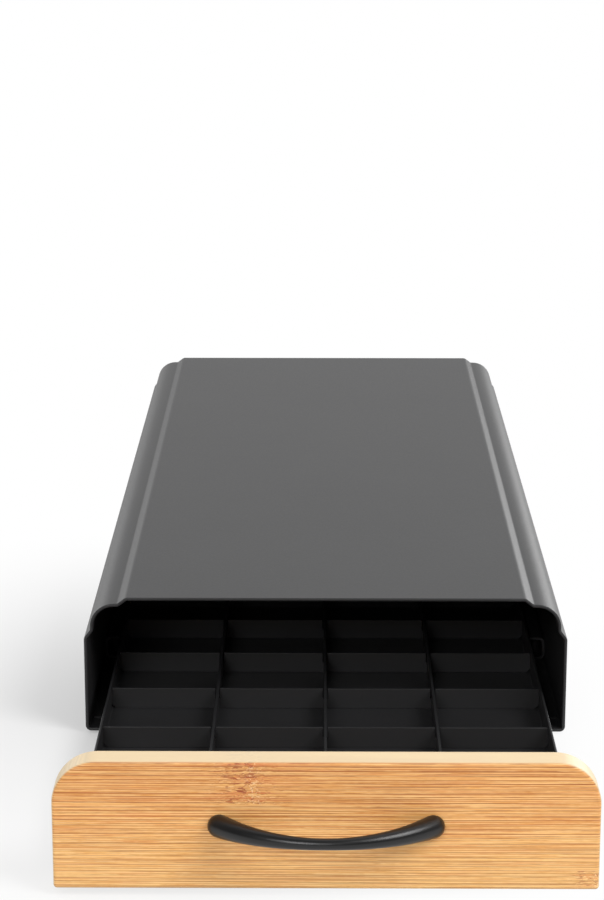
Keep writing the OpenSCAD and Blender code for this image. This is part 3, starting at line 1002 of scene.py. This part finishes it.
past_end = node(bow, "ShaderNodeMath", {0: along, 1: on_arc}, operation="SUBTRACT")
ball_angle = node(
    bow, "ShaderNodeMath", {0: past_end, 1: ball_turn / ball_share}, operation="MULTIPLY"
)
ball_sine = node(bow, "ShaderNodeMath", {0: ball_angle}, operation="SINE")
push = node(bow, "ShaderNodeMath", {0: ball_sine, 1: given["FootRadius"]}, operation="MULTIPLY")
push_x = node(bow, "ShaderNodeMath", {0: push, 1: cosine}, operation="MULTIPLY")
bow_x = node(
    bow, "ShaderNodeMath", {0: sine, 1: given["BowRadius"], 2: push_x}, operation="MULTIPLY_ADD"
)
end_cosine = node(bow, "ShaderNodeMath", {0: given["HalfAngle"]}, operation="COSINE")
rise = node(bow, "ShaderNodeMath", {0: end_cosine, 1: cosine}, operation="SUBTRACT")
arc_y = node(bow, "ShaderNodeMath", {0: rise, 1: given["BowRadius"]}, operation="MULTIPLY")
axis_y = node(bow, "ShaderNodeMath", {0: arc_y, 1: given["Seat"]}, operation="SUBTRACT")
bow_y = node(bow, "ShaderNodeMath", {0: push, 1: sine, 2: axis_y}, operation="MULTIPLY_ADD")
spot = node(bow, "ShaderNodeCombineXYZ", {"X": bow_x, "Y": bow_y})
bowed = node(bow, "GeometryNodeSetPosition", {"Geometry": line, "Position": spot})
bar = node(bow, "GeometryNodeMeshToCurve", {"Mesh": bowed})

# It is thickest at the ends, and the ball closes round them.
end_sine = node(bow, "ShaderNodeMath", {0: given["HalfAngle"]}, operation="SINE")
outwards = node(bow, "ShaderNodeMath", {0: sine}, operation="ABSOLUTE")
out_share = node(bow, "ShaderNodeMath", {0: outwards, 1: end_sine}, operation="DIVIDE")
taper = node(bow, "ShaderNodeMath", {0: out_share, 1: handle_taper}, operation="POWER")
gain = node(
    bow,
    "ShaderNodeMath",
    {0: given["FootRadius"], 1: given["MiddleRadius"]},
    operation="SUBTRACT",
)
thickness = node(
    bow, "ShaderNodeMath", {0: taper, 1: gain, 2: given["MiddleRadius"]}, operation="MULTIPLY_ADD"
)
ball_cosine = node(bow, "ShaderNodeMath", {0: ball_angle}, operation="COSINE")
width = node(bow, "ShaderNodeMath", {0: thickness, 1: ball_cosine}, operation="MULTIPLY")
ring = node(bow, "GeometryNodeCurvePrimitiveCircle", {"Resolution": 32, "Radius": 1.0})
tube = node(
    bow,
    "GeometryNodeCurveToMesh",
    {"Curve": bar, "Profile Curve": ring, "Scale": width, "Fill Caps": True},
)
seated = node(bow, "GeometryNodeTransform", {"Geometry": tube, "Translation": given["Place"]})
end_tree(bow, seated, given["Material"])

bow_handle = add_object("bow_handle", bpy.data.meshes.new("bow_handle"))
handle_z = (handle_low.z + handle_high.z) / 2
apply_tree(
    bow_handle,
    bow,
    BowRadius=bow_r,
    HalfAngle=bow_half_angle,
    Seat=handle_seat,
    FootRadius=handle_foot_r,
    MiddleRadius=handle_mid_r,
    Rings=81,
    Place=(0, handle_high.y, handle_z),
    Material=lacquer,
)
settle(bow_handle)

# The ball is cut flat where it meets the wood.
wood_side_h = 20 * MM
wood_side_t = 10 * MM
wood_side = box_mesh("wood side", (4 * handle_half, wood_side_t, wood_side_h))
wood_side.data.transform(
    Matrix.Translation((0, handle_high.y + wood_side_t / 2, handle_z))
)
cut_away(bow_handle, wood_side)
bow_handle.data.shade_smooth()
bow_handle.data.set_sharp_from_angle(angle=math.radians(50))
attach(bow_handle, "drawer")
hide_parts("handle")


# ---- Screws and washers ----
# Pan-head machine screws through the board into the handle's feet, over washers, and smaller
# ones from the tray into the board. Steel, zinc plated bright, with a cross recess.

# Bright zinc is a smooth grey metal with a faint cloudy spangle.
SPANGLE_MM = 6
ZINC_GRAIN_MM = 1.5
ZINC_UNEVENNESS = 0.08


def zinc_plate(name, colour, roughness):
    material, tree, shader = new_material(name, Metallic=1.0)
    place = object_millimetres(tree)
    spangle = node(
        tree,
        "ShaderNodeTexVoronoi",
        {"Vector": place, "Scale": 1 / SPANGLE_MM, "Randomness": 1.0},
    )
    tone = node(
        tree,
        "ShaderNodeMix",
        {"Factor": spangle.outputs["Distance"], 6: linear(colour), 7: linear("#8b8f94")},
        data_type="RGBA",
    )
    tree.links.new(tone.outputs[2], shader.inputs["Base Color"])
    drawn = node(
        tree, "ShaderNodeTexNoise", {"Vector": place, "Scale": 1 / ZINC_GRAIN_MM, "Detail": 4}
    )
    matt = node(
        tree,
        "ShaderNodeMapRange",
        {
            "Value": drawn,
            "To Min": roughness - ZINC_UNEVENNESS,
            "To Max": roughness + ZINC_UNEVENNESS,
        },
    )
    tree.links.new(matt.outputs[0], shader.inputs["Roughness"])
    return material


bright_zinc = zinc_plate("bright_zinc_plate", "#d5d8da", 0.22)


def pan_screw(name, shank_r, length, head_r, head_h):
    """A screw along Y with its head's seat at y = 0 and a cross recess in the head."""
    crown = head_h * 0.55
    crown_steps = 10
    tip_r = shank_r * 0.6
    tip_h = shank_r * 0.5
    crown_angles = [math.radians(90 * k / crown_steps) for k in range(1, crown_steps)]
    profile = (
        [(0, -length), (tip_r, -length), (shank_r, -length + tip_h)]
        + [(shank_r, 0), (head_r, 0), (head_r, head_h - crown)]
        + [(head_r * math.cos(a), head_h - crown + crown * math.sin(a)) for a in crown_angles]
        + [(0, head_h)]
    )
    screw = turned(name, profile, axis="Y", steps=36)
    recess_w = head_r * 0.26
    recess_l = head_r * 1.1
    recess_depth = head_h * 0.6
    for size in ((recess_l, 2 * recess_depth, recess_w), (recess_w, 2 * recess_depth, recess_l)):
        slot_box = box_mesh("recess", size)
        slot_box.data.transform(Matrix.Translation((0, head_h, 0)))
        cut_away(screw, slot_box)
    return screw


screws_low, screws_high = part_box("handle_screws")
screw_shank_r = 2 * MM
screw_head_r = 4 * MM
screw_head_h = 2.4 * MM
screw_seat_y = screws_high.y - screw_head_h
handle_screws = in_rows_of(
    "handle_pan_screws",
    pan_screw(
        "pan_screw", screw_shank_r, screw_seat_y - screws_low.y, screw_head_r, screw_head_h
    ),
    bright_zinc,
    first=(-handle_half, screw_seat_y, (screws_low.z + screws_high.z) / 2),
    count=2,
    step=(2 * handle_half, 0, 0),
)
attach(handle_screws, "drawer")
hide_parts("handle_screws")

washer_low, washer_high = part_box("handle_washers")
washer_r = (washer_high.z - washer_low.z) / 2
washer_hole_r = 2.2 * MM
washer_t = washer_high.y - washer_low.y
washer_edge = 0.15 * MM
washer_profile = [
    (washer_hole_r, 0),
    (washer_r - washer_edge, 0),
    (washer_r, washer_edge),
    (washer_r, washer_t - washer_edge),
    (washer_r - washer_edge, washer_t),
    (washer_hole_r, washer_t),
    (washer_hole_r, 0),
]
washers = in_rows_of(
    "handle_plain_washers",
    turned("washer", washer_profile, axis="Y"),
    bright_zinc,
    first=(-handle_half, washer_low.y, (washer_low.z + washer_high.z) / 2),
    count=2,
    step=(2 * handle_half, 0, 0),
)
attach(washers, "drawer")
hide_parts("handle_washers")

small_low, small_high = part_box("front_screws")
small_shank_r = 1.5 * MM
small_head_r = (small_high.z - small_low.z) / 2
small_head_h = 1.6 * MM
small_seat_y = small_high.y - small_head_h
small_count = long_count + 1
front_screws = in_rows_of(
    "front_pan_screws",
    pan_screw(
        "small_pan_screw", small_shank_r, small_seat_y - small_low.y, small_head_r, small_head_h
    ),
    bright_zinc,
    first=(small_low.x + small_head_r, small_seat_y, (small_low.z + small_high.z) / 2),
    count=small_count,
    step=(long_pitch, 0, 0),
)
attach(front_screws, "drawer")
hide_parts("front_screws")


# ---- Stage ----
# White paper on the floor keeps a soft shadow near the drawer, and is plain white further off.
# Two round lamps stand in front, the stronger to the right, and two behind light the shoulders.
# The sky is white behind the drawer and dimmer in front of it.

camera_down = 14.68
camera_turn = 0.42
camera_data = bpy.data.cameras.new("camera")
camera_data.sensor_fit = "VERTICAL"
camera_data.sensor_height = 36
camera_data.lens = 99.93
camera_data.clip_end = 50
camera = bpy.data.objects.new("camera", camera_data)
camera.location = (-0.0022, -0.9776, 0.3316)
camera.rotation_euler = (math.radians(90 - camera_down), 0, math.radians(camera_turn))
bpy.context.scene.collection.objects.link(camera)
bpy.context.scene.camera = camera

floor_half = 12
floor_mesh = bpy.data.meshes.new("floor")
floor_mesh.from_pydata(
    [(x * floor_half, y * floor_half, 0) for x, y in ((-1, -1), (1, -1), (1, 1), (-1, 1))],
    [],
    [(0, 1, 2, 3)],
)
floor = add_object("floor", floor_mesh)
paper, tree, shader = new_material(
    "white_paper", Roughness=1.0, Base_Color=linear("#d8d8d8"), Specular_IOR_Level=0.0
)
place = node(tree, "ShaderNodeTexCoord").outputs["Object"]
shade_middle = (-0.105, -0.11, 0)
away = node(tree, "ShaderNodeVectorMath", {0: place, 1: shade_middle}, operation="DISTANCE")
fade = node(
    tree,
    "ShaderNodeMapRange",
    {0: away, "From Min": 0.0, "From Max": 0.25, "To Min": 0.3},
    interpolation_type="SMOOTHSTEP",
)
path = node(tree, "ShaderNodeLightPath").outputs
through = node(
    tree,
    "ShaderNodeMath",
    {0: path["Is Glossy Ray"], 1: path["Is Transmission Ray"]},
    operation="MAXIMUM",
)
seen = node(
    tree, "ShaderNodeMath", {0: path["Is Camera Ray"], 1: through}, operation="MAXIMUM"
)
glow = node(tree, "ShaderNodeEmission", {"Strength": 1.0})
share = node(tree, "ShaderNodeMath", {0: fade, 1: seen}, operation="MULTIPLY")
blended = node(tree, "ShaderNodeMixShader", {0: share, 1: shader, 2: glow})
tree.links.new(blended.outputs[0], tree.nodes["Material Output"].inputs["Surface"])
floor_mesh.materials.append(paper)


def lamp(name, place, size, watts):
    """A round soft lamp aimed at the drawer."""
    data = bpy.data.lights.new(name, "AREA")
    data.shape = "DISK"
    data.size = size
    data.energy = watts
    light = bpy.data.objects.new(name, data)
    light.location = place
    light.rotation_euler = Vector(place).to_track_quat("Z", "Y").to_euler()
    bpy.context.scene.collection.objects.link(light)


lamp("key", place=(1.15, -1.0, 1.4), size=1.0, watts=23)
lamp("front", place=(-0.5, -1.9, 1.0), size=0.8, watts=14)
lamp("rim right", place=(0.9, 1.1, 0.5), size=0.7, watts=8.5)
lamp("rim left", place=(-0.9, 1.1, 0.5), size=0.7, watts=2.5)

sky = bpy.data.worlds.new("sky")
sky.use_nodes = True
bpy.context.scene.world = sky
tree = sky.node_tree
tree.nodes.clear()
path = node(tree, "ShaderNodeLightPath").outputs
direction = node(tree, "ShaderNodeTexCoord").outputs["Generated"]
look = node(tree, "ShaderNodeSeparateXYZ", {0: direction}).outputs
behind = node(
    tree,
    "ShaderNodeMapRange",
    {"Value": look["Y"], "From Min": -0.9, "From Max": 0.1},
    interpolation_type="SMOOTHSTEP",
)
backdrop = node(
    tree,
    "ShaderNodeMapRange",
    {"Value": look["Y"], "From Min": -0.2, "From Max": 0.35},
    interpolation_type="SMOOTHSTEP",
)
overhead = node(
    tree,
    "ShaderNodeMapRange",
    {"Value": look["Z"], "From Min": 0.3, "From Max": 0.9, "To Min": 0.42, "To Max": 0.5},
    interpolation_type="SMOOTHSTEP",
)
lit = node(tree, "ShaderNodeMath", {0: behind, 1: 0.38, 2: overhead}, operation="MULTIPLY_ADD")
mirrored = node(
    tree,
    "ShaderNodeMath",
    {0: path["Is Glossy Ray"], 1: path["Is Transmission Ray"]},
    operation="MAXIMUM",
)
mirrored_white = node(tree, "ShaderNodeMath", {0: mirrored, 1: backdrop}, operation="MULTIPLY")
mirrored_front = node(
    tree, "ShaderNodeMath", {0: mirrored, 1: mirrored_white}, operation="SUBTRACT"
)
dimming = node(
    tree, "ShaderNodeMath", {0: mirrored_front, 1: -0.7, 2: 1.0}, operation="MULTIPLY_ADD"
)
dimmed = node(tree, "ShaderNodeMath", {0: lit, 1: dimming}, operation="MULTIPLY")
white = node(
    tree, "ShaderNodeMath", {0: mirrored_white, 1: path["Is Camera Ray"]}, operation="MAXIMUM"
)
strength = node(tree, "ShaderNodeMath", {0: dimmed, 1: white}, operation="MAXIMUM")
light = node(tree, "ShaderNodeBackground", {"Color": (1, 1, 1, 1), "Strength": strength})
node(tree, "ShaderNodeOutputWorld", {"Surface": light})

bpy.context.scene.view_settings.view_transform = "Standard"
